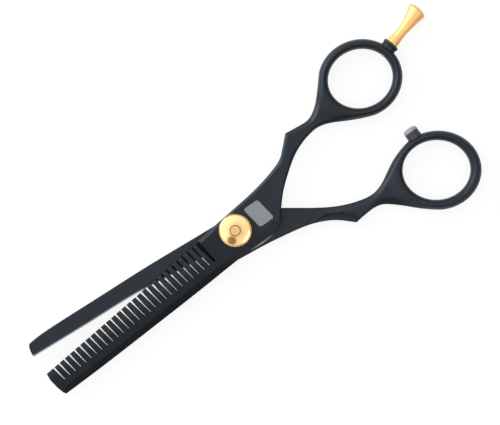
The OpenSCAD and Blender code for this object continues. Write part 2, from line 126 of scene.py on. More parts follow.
def smooth_line(points, x):
    """Height at x of the smooth line through the points."""
    px = np.array([p[0] for p in points], float)
    py = np.array([p[1] for p in points], float)
    last = len(points) - 1
    is_end = np.array([i in (0, last) or len(p) > 2 for i, p in enumerate(points)])
    x = np.asarray(x, float)
    j = np.clip(np.searchsorted(px, x, side="left") - 1, 0, last - 1)
    here = (py[j + 1] - py[j]) / (px[j + 1] - px[j])
    back, ahead = np.maximum(j - 1, 0), np.minimum(j + 2, last)
    slope_a = np.where(is_end[j], here, (py[j + 1] - py[back]) / (px[j + 1] - px[back]))
    slope_b = np.where(is_end[j + 1], here, (py[ahead] - py[j]) / (px[ahead] - px[j]))
    w = px[j + 1] - px[j]
    t = (x - px[j]) / w
    return ((2 * t**3 - 3 * t**2 + 1) * py[j] + (3 * t**2 - 2 * t**3) * py[j + 1]
            + w * ((t**3 - 2 * t**2 + t) * slope_a + (t**3 - t**2) * slope_b))


def line_points(points, step=0.4):
    """Points along the smooth line, with each given point kept."""
    xs = [np.linspace(a[0], b[0], max(2, int((b[0] - a[0]) / step) + 1))[:-1]
          for a, b in zip(points[:-1], points[1:])]
    xs = np.concatenate(xs + [[points[-1][0]]])
    return np.stack([xs, smooth_line(points, xs)], 1)


def oval(centre, half, turn, angles):
    u, v = half[0] * np.cos(angles), half[1] * np.sin(angles)
    return np.stack([centre[0] + u * math.cos(turn) - v * math.sin(turn),
                     centre[1] + u * math.sin(turn) + v * math.cos(turn)], 1)


def oval_reach(p, centre, half, turn):
    """1 on the oval, less inside it, more outside; and the angle seen along its axes."""
    d = p - centre
    u = d[:, 0] * math.cos(turn) + d[:, 1] * math.sin(turn)
    v = -d[:, 0] * math.sin(turn) + d[:, 1] * math.cos(turn)
    return np.hypot(u / half[0], v / half[1]), np.arctan2(v / half[1], u / half[0])


def with_edge(points, table):
    """Adds the edge's shape to each point, from a table of x and the shape's six values."""
    rows = np.array(table, float)
    return np.column_stack([points] + [np.interp(points[:, 0], rows[:, 0], rows[:, k])
                                       for k in range(1, rows.shape[1])])


def even_steps(loop, step, corner=math.radians(24)):
    """The closed loop again with even steps between its corners."""
    xy = loop[:, :2]
    ahead = np.roll(xy, -1, 0) - xy
    behind = xy - np.roll(xy, 1, 0)
    turn = np.abs(np.arctan2(behind[:, 0] * ahead[:, 1] - behind[:, 1] * ahead[:, 0],
                             (behind * ahead).sum(1)))
    corners = np.flatnonzero(turn > corner)
    if len(corners) == 0:
        corners = np.array([0])
    out = []
    for a, b in zip(corners, np.roll(corners, -1)):
        span = np.arange(a, b + 1) if b > a else np.arange(a, b + len(loop) + 1)
        part = loop[span % len(loop)]
        run = np.concatenate([[0], np.cumsum(np.hypot(*np.diff(part[:, :2], axis=0).T))])
        at = np.linspace(0, run[-1], max(2, int(round(run[-1] / step)) + 1))[:-1]
        out.append(np.column_stack([np.interp(at, run, part[:, k]) for k in range(part.shape[1])]))
    return np.concatenate(out)


# Where the rim meets the shank, this much of the outline is evened out, this many times.
NECK_REACH, NECK_ROUNDS = 4, 30


def half_outline(lower, upper, start, ring, rim_half, turn, tables):
    """The outline of a half, anticlockwise: blade end, lower line, rim of the ring, upper line."""
    low = with_edge(line_points(lower), tables["lower"])
    up = with_edge(line_points(upper), tables["upper"])
    low_out = oval_reach(low[:, :2], ring, rim_half, turn)[0] > 1.004
    up_out = oval_reach(up[:, :2], ring, rim_half, turn)[0] > 1.004
    low = low[:np.argmin(low_out)] if not low_out.all() else low
    up = up[:np.argmin(up_out)] if not up_out.all() else up
    a = oval_reach(low[-1:, :2], ring, rim_half, turn)[1][0] + 0.06
    b = oval_reach(up[-1:, :2], ring, rim_half, turn)[1][0] - 0.06
    b += 2 * math.pi if b < a else 0
    rim = oval(ring, rim_half, turn, np.linspace(a, b, 120))
    rim = np.column_stack([rim, np.tile(tables["rim"], (len(rim), 1))])
    start = np.column_stack([np.array(start, float), np.tile(tables["start"], (len(start), 1))])
    loop = np.concatenate([start, low, rim, up[::-1]])
    loop = even_steps(loop, 0.42)
    near = np.zeros(len(loop), bool)
    for end in (low[-1], up[-1]):
        near |= np.hypot(*(loop[:, :2] - end[:2]).T) < NECK_REACH
    for _ in range(NECK_ROUNDS):
        mid = (np.roll(loop, 1, 0) + np.roll(loop, -1, 0)) / 2
        loop[near, :2] += 0.5 * (mid - loop)[near, :2]
    return loop


# ---------------------------------------------------------------- solids from an outline

def nearest_edge(p, loops):
    """Distance from each point to the loops, and the edge shape there."""
    best = np.full(len(p), 1e9)
    shape = np.zeros((len(p), loops[0].shape[1] - 2))
    for loop in loops:
        a, b = loop, np.roll(loop, -1, 0)
        seg = b[:, :2] - a[:, :2]
        length = np.maximum((seg**2).sum(1), 1e-12)
        for i in range(0, len(p), 1500):
            q = p[i:i + 1500]
            rel = q[:, None, :] - a[None, :, :2]
            t = np.clip((rel * seg).sum(2) / length, 0, 1)
            d = np.hypot(rel[:, :, 0] - t * seg[:, 0], rel[:, :, 1] - t * seg[:, 1])
            k = d.argmin(1)
            n = np.arange(len(q))
            dist, t = d[n, k], t[n, k]
            edge = a[k, 2:] * (1 - t)[:, None] + b[k, 2:] * t[:, None]
            closer = dist < best[i:i + 1500]
            best[i:i + 1500] = np.where(closer, dist, best[i:i + 1500])
            shape[i:i + 1500][closer] = edge[closer]
    return best, shape


def edge_drop(distance, width, share, roundness):
    """How far the face drops near its edge, as a share of half the thickness."""
    s = np.clip(distance / np.maximum(width, 1e-6), 0, 1)
    arc = 1 - np.sqrt(np.maximum(0, 1 - (1 - s)**2))
    hollow = 1 - s**4
    curve = np.where(roundness < 0, hollow, arc)
    amount = np.abs(roundness)
    return share * (amount * curve + (1 - amount) * (1 - s))


def inside(p, loop):
    a, b = loop[:, :2], np.roll(loop[:, :2], -1, 0)
    out = np.zeros(len(p), bool)
    for i in range(0, len(p), 1500):
        x, y = p[i:i + 1500, :1], p[i:i + 1500, 1:]
        cross = (a[:, 1] > y) != (b[:, 1] > y)
        rise = np.where(b[:, 1] == a[:, 1], 1e-9, b[:, 1] - a[:, 1])
        at = a[:, 0] + (y - a[:, 1]) / rise * (b[:, 0] - a[:, 0])
        out[i:i + 1500] = (cross & (x < at)).sum(1) % 2 == 1
    return out


# Rows of points follow each edge at these shares of its width. The rest are in millimetres.
ROW_SHARES = (0.05, 0.16, 0.33, 0.55, 0.75, 0.9, 1.0)
ROW_GAP, CREASE_GAP, GRID_GAP = 0.07, 0.12, 0.25
LEAST_WALL = 0.04


def plate_mesh(name, loops, faces_at, creases, grid=0.75):
    """A closed plate with the first loop as outline and the others as holes.

    faces_at gives the heights of the upper and lower face at each point, without the edge shapes.
    """
    points = [loop[:, :2] for loop in loops]
    edges, first = [], 0
    for loop in loops:
        n = len(loop)
        edges += [(first + i, first + (i + 1) % n) for i in range(n)]
        first += n
    crease_start = first
    rows = []
    for loop in loops:
        xy = loop[:, :2]
        along = np.roll(xy, -1, 0) - np.roll(xy, 1, 0)
        along /= np.maximum(np.hypot(*along.T), 1e-9)[:, None]
        inward = np.stack([-along[:, 1], along[:, 0]], 1)
        for share in ROW_SHARES:
            for width in (loop[:, 2], loop[:, 5]):
                rows.append(np.column_stack([xy + inward * (width * share)[:, None], width * share]))
    rows = np.concatenate(rows)
    rows = rows[inside(rows[:, :2], loops[0])]
    for hole in loops[1:]:
        rows = rows[~inside(rows[:, :2], hole)]
    d, _ = nearest_edge(rows[:, :2], loops)
    rows = rows[(d > 0.9 * rows[:, 2]) & (d > 0.02)]
    kept = thin_out(rows[:, :2], ROW_GAP)
    crease_points = []
    for crease in creases:
        start = crease_start + sum(len(c) for c in crease_points)
        crease_points.append(crease)
        edges += [(start + i, start + i + 1) for i in range(len(crease) - 1)]
    low, high = loops[0][:, :2].min(0), loops[0][:, :2].max(0)
    gx, gy = np.meshgrid(np.arange(low[0], high[0], grid), np.arange(low[1], high[1], grid * 0.866))
    gx[1::2] += grid / 2
    inner = np.stack([gx.ravel(), gy.ravel()], 1)
    inner = inner[inside(inner, loops[0])]
    for hole in loops[1:]:
        inner = inner[~inside(inner, hole)]
    d, shape = nearest_edge(inner, loops)
    inner = inner[d > np.maximum(shape[:, 0], shape[:, 3]) + GRID_GAP]
    fixed = np.concatenate(points + crease_points)
    spare = np.concatenate([kept, inner])
    far = distance_to(spare, np.concatenate(crease_points)) > CREASE_GAP
    cloud = np.concatenate([fixed, spare[far]])
    verts, _, tris, *_ = delaunay_2d_cdt([Vector(p) for p in cloud], edges, [], 0, 1e-5)
    xy = np.array([tuple(v) for v in verts])
    tris = np.array(tris)
    mid = xy[tris].mean(1)
    good = inside(mid, loops[0])
    for hole in loops[1:]:
        good &= ~inside(mid, hole)
    tris = tris[good]
    a, b, c = xy[tris[:, 0]], xy[tris[:, 1]], xy[tris[:, 2]]
    area = (b[:, 0] - a[:, 0]) * (c[:, 1] - a[:, 1]) - (b[:, 1] - a[:, 1]) * (c[:, 0] - a[:, 0])
    tris[area < 0] = tris[area < 0][:, ::-1]
    tris = tris[np.abs(area) > 1e-9]
    used = np.unique(tris)
    renumber = np.full(len(xy), -1)
    renumber[used] = np.arange(len(used))
    xy, tris = xy[used], renumber[tris]
    top, bottom = faces_at(xy)
    d, shape = nearest_edge(xy, loops)
    half = (top - bottom) / 2
    z_top = top - half * edge_drop(d, shape[:, 0], shape[:, 1], shape[:, 2])
    z_bot = bottom + half * edge_drop(d, shape[:, 3], shape[:, 4], shape[:, 5])
    z_top = np.maximum(z_top, z_bot + LEAST_WALL)
    n = len(xy)
    open_edges = boundary_edges(tris)
    walls = [(a, b, b + n, a + n) for b, a in open_edges]
    verts = np.concatenate([np.column_stack([xy, z_top]), np.column_stack([xy, z_bot])])
    faces = [tuple(t) for t in tris] + [tuple(t + n) for t in tris[:, ::-1]] + walls
    return make_piece(name, verts, faces), xy, n


def boundary_edges(tris):
    """The directed edges that only one triangle has."""
    directed = {}
    for t in tris:
        for a, b in ((t[0], t[1]), (t[1], t[2]), (t[2], t[0])):
            directed[(a, b)] = True
    return [(a, b) for a, b in directed if (b, a) not in directed]


def distance_to(p, others):
    out = np.full(len(p), 1e9)
    for i in range(0, len(p), 2000):
        q = p[i:i + 2000]
        out[i:i + 2000] = np.sqrt(((q[:, None] - others[None])**2).sum(2)).min(1)
    return out


def thin_out(p, gap):
    """The points without those that share a small square with an earlier one."""
    _, first = np.unique(np.round(p / gap).astype(int), axis=0, return_index=True)
    return p[np.sort(first)]


# ---------------------------------------------------------------- mesh helpers

def make_piece(name, verts, faces):
    mesh = bpy.data.meshes.new(name)
    points = [tuple(v) for v in np.asarray(verts) * MM]
    mesh.from_pydata(points, [], [tuple(int(i) for i in f) for f in faces])
    mesh.update()
    mesh.validate()
    obj = bpy.data.objects.new(name, mesh)
    bpy.context.scene.collection.objects.link(obj)
    return obj


def soften(obj, angle=30):
    """Smooth shading, with a crease where two faces meet at more than the angle."""
    mesh = obj.data
    mesh.polygons.foreach_set("use_smooth", [True] * len(mesh.polygons))
    mesh.set_sharp_from_angle(angle=math.radians(angle))
    return obj


def spin(name, profile, segments=96, place=None, closed=False):
    """A turned piece. profile holds (radius, height); a radius of 0 is the axis."""
    verts, rings = [], []
    for r, h in profile:
        if r < 1e-6:
            rings.append([len(verts)])
            verts.append((0, 0, h))
        else:
            rings.append(list(range(len(verts), len(verts) + segments)))
            verts += [(r * math.cos(2 * math.pi * k / segments), r * math.sin(2 * math.pi * k / segments), h)
                      for k in range(segments)]
    faces = []
    pairs = list(zip(rings[:-1], rings[1:])) + ([(rings[-1], rings[0])] if closed else [])
    for a, b in pairs:
        for k in range(segments):
            k2 = (k + 1) % segments
            if len(a) == 1:
                faces.append((a[0], b[k2], b[k]))
            elif len(b) == 1:
                faces.append((a[k], a[k2], b[0]))
            else:
                faces.append((a[k], a[k2], b[k2], b[k]))
    verts = np.array(verts, float)
    if place is not None:
        verts = place(verts)
    return make_piece(name, verts, faces)


def rounded(corners, radius, steps=5):
    """A profile with its inner corners rounded. A corner is (r, h) or (r, h, its own radius)."""
    out = [corners[0][:2]]
    for before, here, after in zip(corners[:-2], corners[1:-1], corners[2:]):
        size = here[2] if len(here) > 2 else radius
        p = np.array(here[:2], float)
        a, b = np.array(before[:2]) - p, np.array(after[:2]) - p
        la, lb = np.linalg.norm(a), np.linalg.norm(b)
        cut = min(size, 0.49 * la, 0.49 * lb)
        start, stop = p + a / la * cut, p + b / lb * cut
        for k in range(steps + 1):
            t = k / steps
            out.append(tuple((1 - t)**2 * start + 2 * t * (1 - t) * p + t**2 * stop))
    out.append(corners[-1][:2])
    return out


def join(name, pieces):
    """One mesh object made of the pieces' meshes, which are then removed."""
    verts, faces, first = [], [], 0
    for piece in pieces:
        mesh = piece.data
        co = np.empty(len(mesh.vertices) * 3)
        mesh.vertices.foreach_get("co", co)
        verts.append(co.reshape(-1, 3) / MM)
        faces += [tuple(v + first for v in poly.vertices) for poly in mesh.polygons]
        first += len(mesh.vertices)
        bpy.data.objects.remove(piece)
    return make_piece(name, np.concatenate(verts), faces)


def ease(t):
    t = np.clip(t, 0, 1)
    return t * t * (3 - 2 * t)


# ---------------------------------------------------------------- geometry nodes

def tree_inputs(tree, sizes):
    """Named inputs of a geometry tree, after its mesh."""
    tree.interface.new_socket("Geometry", in_out="INPUT", socket_type="NodeSocketGeometry")
    tree.interface.new_socket("Geometry", in_out="OUTPUT", socket_type="NodeSocketGeometry")
    for label, kind in sizes:
        tree.interface.new_socket(label, in_out="INPUT", socket_type="NodeSocket" + kind)


class Tree:
    """A small writer for node trees: add a node, link its sockets by name."""

    def __init__(self, tree):
        self.tree = tree

    def add(self, kind, inputs=(), **settings):
        node = self.tree.nodes.new(kind)
        for key, value in settings.items():
            setattr(node, key, value)
        for key, value in dict(inputs).items():
            if isinstance(value, bpy.types.NodeSocket):
                self.tree.links.new(value, node.inputs[key])
            else:
                node.inputs[key].default_value = value
        return node

    def math(self, operation, a, b=0.0, c=0.0):
        return self.add("ShaderNodeMath", {0: a, 1: b, 2: c}, operation=operation).outputs[0]

    def ramp(self, value, span=(0, 1), out=(0, 1)):
        """The value carried from one span to another, and held inside it."""
        ends = {0: value, 1: span[0], 2: span[1], 3: out[0], 4: out[1]}
        return self.add("ShaderNodeMapRange", ends).outputs[0]

    def vector(self, x=0.0, y=0.0, z=0.0):
        return self.add("ShaderNodeCombineXYZ", {0: x, 1: y, 2: z}).outputs[0]

    def axes(self, vector):
        return self.add("ShaderNodeSeparateXYZ", {0: vector}).outputs

    def set_out(self, points, piece, rotation, scale):
        """Copies of a piece on points."""
        return self.add("GeometryNodeInstanceOnPoints", {
            "Points": points.outputs[0], "Instance": piece.outputs[0],
            "Rotation": rotation, "Scale": scale})

    def plug(self, value, node, socket):
        self.tree.links.new(value, node.inputs[socket])


def grow_nodes(obj, tree, values):
    """Runs a geometry tree on an object and keeps the result as its plain mesh."""
    modifier = obj.modifiers.new("nodes", "NODES")
    modifier.node_group = tree
    for item in tree.interface.items_tree:
        if item.in_out == "INPUT" and item.name in values:
            modifier[item.identifier] = values[item.name]
    bpy.context.view_layer.update()
    graph = bpy.context.evaluated_depsgraph_get()
    mesh = bpy.data.meshes.new_from_object(obj.evaluated_get(graph))
    obj.modifiers.remove(modifier)
    old = obj.data
    obj.data = mesh
    bpy.data.meshes.remove(old)
    mesh.name = obj.name
    return obj


def slot_cutting_tree():
    """Cuts the comb's slots: a row of wedges, each a little longer than the one before."""
    tree = bpy.data.node_groups.new("comb slots", "GeometryNodeTree")
    tree_inputs(tree, [("Slots", "Int"), ("Pitch", "Float"), ("First", "Float"),
                       ("Slope", "Float"), ("Lean", "Float"),
                       ("Line start", "Vector"), ("Short", "Float"),
                       ("Long", "Float"), ("Root width", "Float"),
                       ("Mouth width", "Float"), ("Relief width", "Float"),
                       ("Heel share", "Float"), ("Flare", "Float"),
                       ("Material", "Material")])
    t = Tree(tree)
    given = t.add("NodeGroupInput").outputs
    row = t.add("GeometryNodeMeshLine", {"Count": given["Slots"]})
    index = t.add("GeometryNodeInputIndex").outputs[0]
    along = t.math("MULTIPLY_ADD", index, given["Pitch"], given["First"])
    x = t.math("MULTIPLY", along, t.math("COSINE", given["Slope"]))
    y = t.math("MULTIPLY", along, t.math("SINE", given["Slope"]))
    offset = t.vector(x, y)
    spot = t.add("ShaderNodeVectorMath", {0: offset, 1: given["Line start"]}, operation="ADD").outputs[0]
    placed = t.add("GeometryNodeSetPosition", {"Geometry": row.outputs[0], "Position": spot})
    last = t.math("COMPARE", index, t.math("SUBTRACT", given["Slots"], 1.0), 0.5)
    share = t.math("DIVIDE", index, t.math("SUBTRACT", given["Slots"], 1.0))
    length = t.ramp(share, out=(given["Short"], given["Long"]))
    # The wedge is a cube of size 1 whose top end is wider than its root.
    cube = t.add("GeometryNodeMeshCube", {"Size": (1, 1, 1)})
    pos = t.add("GeometryNodeInputPosition").outputs[0]
    axes = t.axes(pos)
    at_top = t.math("GREATER_THAN", axes["Y"], 0.0)
    width = t.ramp(at_top, out=(given["Root width"], given["Mouth width"]))
    wedge_x = t.math("MULTIPLY", axes["X"], width)
    wedge_y = t.math("SUBTRACT", axes["Y"], 0.5)
    wedge_at = t.vector(wedge_x, wedge_y, axes["Z"])
    wedge = t.add("GeometryNodeSetPosition", {"Geometry": cube.outputs[0], "Position": wedge_at})
    turn = t.math("ADD", given["Slope"], given["Lean"])
    rotation = t.vector(z=turn)
    relief = t.math("DIVIDE", given["Relief width"], given["Mouth width"])
    narrowing = t.ramp(share, out=(1.0, given["Heel share"]))
    scale_x = t.ramp(last, out=(narrowing, relief))
    scale = t.vector(scale_x, length, CUTTER_H * MM)
    wedges = t.set_out(placed, wedge, rotation, scale)
    # Towards the pivot the mouths flare down to the middle of the slot.
    flare_x = t.ramp(share, out=(FLARE_AT_TIP, given["Flare"]))
    half_length = t.math("MULTIPLY", length, FLARE_LEN_SHARE)
    flare_scale = t.vector(flare_x, half_length, FLARE_CUTTER_H * MM)
    flares = t.set_out(placed, wedge, rotation, flare_scale)
    cutters = t.add("GeometryNodeJoinGeometry")
    tree.links.new(flares.outputs[0], cutters.inputs[0])
    tree.links.new(wedges.outputs[0], cutters.inputs[0])
    real = t.add("GeometryNodeRealizeInstances", {0: cutters.outputs[0]})
    cut = t.add("GeometryNodeMeshBoolean", {"Self Intersection": True},
                operation="DIFFERENCE", solver="EXACT")
    tree.links.new(given["Geometry"], cut.inputs["Mesh 1"])
    tree.links.new(real.outputs[0], cut.inputs["Mesh 2"])
    finish = t.add("GeometryNodeSetMaterial", {"Geometry": cut.outputs[0], "Material": given["Material"]})
    whole = t.add("GeometryNodeRealizeInstances", {0: finish.outputs[0]})
    t.add("NodeGroupOutput", {"Geometry": whole.outputs[0]})
    return tree


def knurl_tree():
    """Sets a ring of small ridges round a turned piece."""
    tree = bpy.data.node_groups.new("knurl ridges", "GeometryNodeTree")
    tree_inputs(tree, [("Ridges", "Int"), ("Radius", "Float"), ("Height", "Float"),
                       ("Depth", "Float"), ("Middle", "Float"),
                       ("Material", "Material")])
    t = Tree(tree)
    given = t.add("NodeGroupInput").outputs
    row = t.add("GeometryNodeMeshLine", {"Count": given["Ridges"]})
    index = t.add("GeometryNodeInputIndex").outputs[0]
    angle = t.math("MULTIPLY", index, t.math("DIVIDE", 2 * math.pi, given["Ridges"]))
    x = t.math("MULTIPLY", t.math("COSINE", angle), given["Radius"])
    y = t.math("MULTIPLY", t.math("SINE", angle), given["Radius"])
    spot = t.vector(x, y, given["Middle"])
    placed = t.add("GeometryNodeSetPosition", {"Geometry": row.outputs[0], "Position": spot})
    # A ridge has six faces, is widest at its root, and has a bevelled upper and lower end.
    bar = t.add("GeometryNodeMeshCube", {
        "Size": (1, 1, 1), "Vertices X": 2, "Vertices Y": 2, "Vertices Z": 4})
    pos = t.add("GeometryNodeInputPosition").outputs[0]
    axes = t.axes(pos)
    outside = t.math("GREATER_THAN", axes["X"], 0.0)
    narrow = t.ramp(outside, out=(0.9, 0.35))
    end = t.math("GREATER_THAN", t.math("ABSOLUTE", axes["Z"]), 0.4)
    pull = t.math("MULTIPLY", t.math("MULTIPLY", end, outside), 0.35)
    bar_x = t.math("SUBTRACT", axes["X"], pull)
    shape = t.vector(bar_x, t.math("MULTIPLY", axes["Y"], narrow), axes["Z"])
    ridge = t.add("GeometryNodeSetPosition", {"Geometry": bar.outputs[0], "Position": shape})
    rotation = t.vector(z=angle)
    pitch = t.math("MULTIPLY", t.math("DIVIDE", given["Radius"], given["Ridges"]), 2 * math.pi * 0.92)
    scale = t.vector(given["Depth"], pitch, given["Height"])
    ridges = t.set_out(placed, ridge, rotation, scale)
    real = t.add("GeometryNodeRealizeInstances", {0: ridges.outputs[0]})
    both = t.add("GeometryNodeJoinGeometry")
    tree.links.new(real.outputs[0], both.inputs[0])
    tree.links.new(given["Geometry"], both.inputs[0])
    finish = t.add("GeometryNodeSetMaterial", {"Geometry": both.outputs[0], "Material": given["Material"]})
    t.add("NodeGroupOutput", {"Geometry": finish.outputs[0]})
    return tree


# ---------------------------------------------------------------- finishes

def new_finish(name, color, metallic, roughness, **sockets):
    material = bpy.data.materials.new(name)
    material.use_nodes = True
    nodes = Tree(material.node_tree)
    shader = material.node_tree.nodes["Principled BSDF"]
    shader.inputs["Base Color"].default_value = (*color, 1)
    shader.inputs["Metallic"].default_value = metallic
    shader.inputs["Roughness"].default_value = roughness
    for key, value in sockets.items():
        shader.inputs[key.replace("_", " ").title().replace("Ior", "IOR")].default_value = value
    where = nodes.add("ShaderNodeTexCoord").outputs["Object"]
    return material, nodes, shader, where


def grain(nodes, where, scale, detail=3.0):
    noise = nodes.add("ShaderNodeTexNoise", {"Vector": where, "Scale": scale, "Detail": detail})
    return noise.outputs["Fac"]


def vary(nodes, shader, fac, dark, light):
    """Colour that drifts between two tones."""
    color = mix_color(nodes, fac, dark, light)
    nodes.plug(color, shader, "Base Color")
    return color


def rough_between(nodes, shader, fac, low, high):
    out = nodes.ramp(fac, out=(low, high))
    nodes.plug(out, shader, "Roughness")
    return out


def bump(nodes, shader, height, depth, strength=1.0):
    out = nodes.add("ShaderNodeBump", {"Height": height, "Distance": depth * MM, "Strength": strength})
    nodes.plug(out.outputs[0], shader, "Normal")


def mix_color(nodes, fac, a, b):
    node = nodes.add("ShaderNodeMix", {"Factor": fac}, data_type="RGBA")
    for key, value in ((6, a), (7, b)):
        if isinstance(value, bpy.types.NodeSocket):
            nodes.tree.links.new(value, node.inputs[key])
        else:
            node.inputs[key].default_value = (*value, 1)
    return node.outputs[2]


COAT_DARK = (0.018, 0.0235, 0.029)
COAT_LIGHT = (0.025, 0.0315, 0.0385)
BLADE_COAT_DARK = (0.0105, 0.0135, 0.016)
BLADE_COAT_LIGHT = (0.0145, 0.0180, 0.0215)


def black_coat(name):
    """Satin black coating on blasted steel."""
    material, nodes, shader, where = new_finish(name, COAT_DARK, 0.85, 0.42)
    broad = grain(nodes, where, 90.0, 4.0)
    fine = grain(nodes, where, 2600.0, 2.0)
    color = vary(nodes, shader, broad, COAT_DARK, COAT_LIGHT)
    rough = rough_between(nodes, shader, broad, 0.38, 0.47)
    bump(nodes, shader, fine, 0.012, 0.5)
    return material, nodes, shader, where, broad, color, rough


def comb_coat():
    """The comb half's coating, with the plain etched patch beside the dial."""
    material, nodes, shader, where, broad, color, rough = black_coat("black coat with etched patch")
    axes = nodes.axes(where)
    # Distances from the patch's middle, sheared as the patch is, in millimetres.
    x = nodes.math("MULTIPLY_ADD", axes["X"], 1 / MM, -PATCH_X)
    y = nodes.math("MULTIPLY", axes["Y"], 1 / MM)
    x = nodes.math("MULTIPLY_ADD", y, PATCH_SHEAR, x)
    qx = nodes.math("SUBTRACT", nodes.math("ABSOLUTE", x), PATCH_HALF[0] - PATCH_CORNER)
    qy = nodes.math("SUBTRACT", nodes.math("ABSOLUTE", y), PATCH_HALF[1] - PATCH_CORNER)
    ox, oy = nodes.math("MAXIMUM", qx, 0.0), nodes.math("MAXIMUM", qy, 0.0)
    squares = nodes.math("ADD", nodes.math("MULTIPLY", ox, ox), nodes.math("MULTIPLY", oy, oy))
    corner = nodes.math("SQRT", squares)
    reach = nodes.math("SUBTRACT", corner, PATCH_CORNER)
    # Only on the top face round the pivot.
    below = nodes.math("SUBTRACT", COMB_Z1 - 0.2, nodes.math("MULTIPLY", axes["Z"], 1 / MM))
    reach = nodes.math("MAXIMUM", reach, below)
    patch = nodes.ramp(reach, (0.06, -0.06))
    speckle = grain(nodes, where, 1500.0, 3.0)
    etched = mix_color(nodes, speckle, (0.185, 0.20, 0.215), (0.25, 0.27, 0.285))
    # The coating is darker on the blade, blending to the shank's tone between 18 mm before and 10 mm past
    # the pivot.
    toward_shank = nodes.ramp(axes["X"], (-0.018, 0.010))
    blade_color = mix_color(nodes, broad, BLADE_COAT_DARK, BLADE_COAT_LIGHT)
    steel = mix_color(nodes, toward_shank, blade_color, color)
    nodes.plug(mix_color(nodes, patch, steel, etched), shader, "Base Color")
    rough_between(nodes, shader, patch, rough, 0.6)
    return material


def ground_coat():
    """The plain half's coating, with the bare strip that the hone leaves along the cutting edge, and painted
    shade under the comb's teeth.
    """
    material, nodes, shader, where, _, color, rough = black_coat("black coat with honed edge")
    strip = nodes.add("ShaderNodeAttribute", attribute_name="honed").outputs["Fac"]
    lines = nodes.add("ShaderNodeTexNoise", {"Vector": nodes.add("ShaderNodeMapping", {
        "Vector": where, "Scale": (4000, 300, 300)}).outputs[0], "Scale": 1.0}).outputs["Fac"]
    bare = mix_color(nodes, lines, (0.24, 0.26, 0.28), (0.38, 0.40, 0.42))
    # The ride, the flat round the pivot that the comb half slides on, is bare too.
    axes = nodes.axes(where)
    x, y, z = (nodes.math("MULTIPLY", axes[a], 1 / MM) for a in "XYZ")
    lower = nodes.ramp(x, (0.3, 4.5), (-8.2, -8.62))
    above = nodes.ramp(nodes.math("SUBTRACT", y, lower), (-0.04, 0.04))
    start = nodes.ramp(x, (0.2, 0.8))
    fade = nodes.ramp(x, (9.5, 4.0))
    top = nodes.ramp(z, (PLAIN_Z1 - 0.2, PLAIN_Z1 - 0.1))
    ride = nodes.math("MULTIPLY", nodes.math("MULTIPLY", above, start), nodes.math("MULTIPLY", fade, top))
    strip = nodes.math("MAXIMUM", strip, ride)
    # Painted shade: the hollow that the teeth sweep over, where shade falls between the two halves, is
    # coloured near black.
    tooth_rise = (TOOTH_HEEL[1] - TOOTH_TIP[1]) / (TOOTH_HEEL[0] - TOOTH_TIP[0])
    tooth_line_y = nodes.math("MULTIPLY_ADD", x, tooth_rise, TOOTH_TIP[1] - tooth_rise * TOOTH_TIP[0])
    under = nodes.ramp(nodes.math("SUBTRACT", tooth_line_y, y), (-0.25, 0.1))
    ahead = nodes.ramp(x, (-8.5, -9.5))
    hollow = nodes.math("MULTIPLY", nodes.math("MULTIPLY", under, ahead), top)
    # The near-black colour mixed in here is painted shade, not the coating's own colour.
    steel = mix_color(nodes, hollow, color, (0.003, 0.0035, 0.004))
    nodes.plug(mix_color(nodes, strip, steel, bare), shader, "Base Color")
    rough_between(nodes, shader, strip, rough, 0.3)
    return material


GOLD = (0.94, 0.565, 0.215)
GOLD_PALE = (0.96, 0.63, 0.28)


def turned_gold():
    """Gold-plated steel with the fine rings that turning leaves, and painted shade in the gap round the
    post.
    """
    material, nodes, shader, where = new_finish(
        "gold, turned", GOLD, 1.0, 0.25, coat_weight=1.0, coat_roughness=0.12, coat_ior=1.6)
    plating = mix_color(nodes, grain(nodes, where, 140.0, 3.0), GOLD, GOLD_PALE)
    axes = nodes.axes(where)
    flat = nodes.vector(axes["X"], axes["Y"])
    radius = nodes.add("ShaderNodeVectorMath", {0: flat}, operation="LENGTH").outputs["Value"]
    rings = nodes.math("SINE", nodes.math("MULTIPLY", radius, 2 * math.pi / (0.09 * MM)))
    bump(nodes, shader, rings, 0.0005, 0.3)
    # Painted shade: the gap between the post and the dial, where shade falls, is coloured dark brown and
    # made rougher.
    from_gap = nodes.math("ABSOLUTE", nodes.math("MULTIPLY_ADD", radius, 1 / MM, -DIAL_GAP_R))
    painted_gap_shade = nodes.ramp(from_gap, (0.16, 0.09))
    # The dark brown mixed in here is painted shade.
    nodes.plug(mix_color(nodes, painted_gap_shade, plating, (0.30, 0.14, 0.05)), shader, "Base Color")
    smooth = nodes.ramp(grain(nodes, where, 700.0, 2.0), out=(0.09, 0.15))
    rough_between(nodes, shader, painted_gap_shade, smooth, 0.5)
    return material


def satin_gold():
    """Gold plating with a soft satin surface."""
    material, nodes, shader, where = new_finish("gold, satin", GOLD, 1.0, 0.45)
    vary(nodes, shader, grain(nodes, where, 160.0, 3.0), (0.80, 0.48, 0.185), (0.86, 0.53, 0.22))
    bump(nodes, shader, grain(nodes, where, 1800.0, 2.0), 0.004, 0.3)
    rough_between(nodes, shader, grain(nodes, where, 500.0, 2.0), 0.46, 0.56)
    return material


def rubber(name, dark, light, low, high):
    material, nodes, shader, where = new_finish(name, dark, 0.0, high, specular_ior_level=0.5)
    vary(nodes, shader, grain(nodes, where, 300.0, 3.0), dark, light)
    bump(nodes, shader, grain(nodes, where, 2200.0, 3.0), 0.01, 0.5)
    rough_between(nodes, shader, grain(nodes, where, 900.0, 2.0), low, high)
    return material


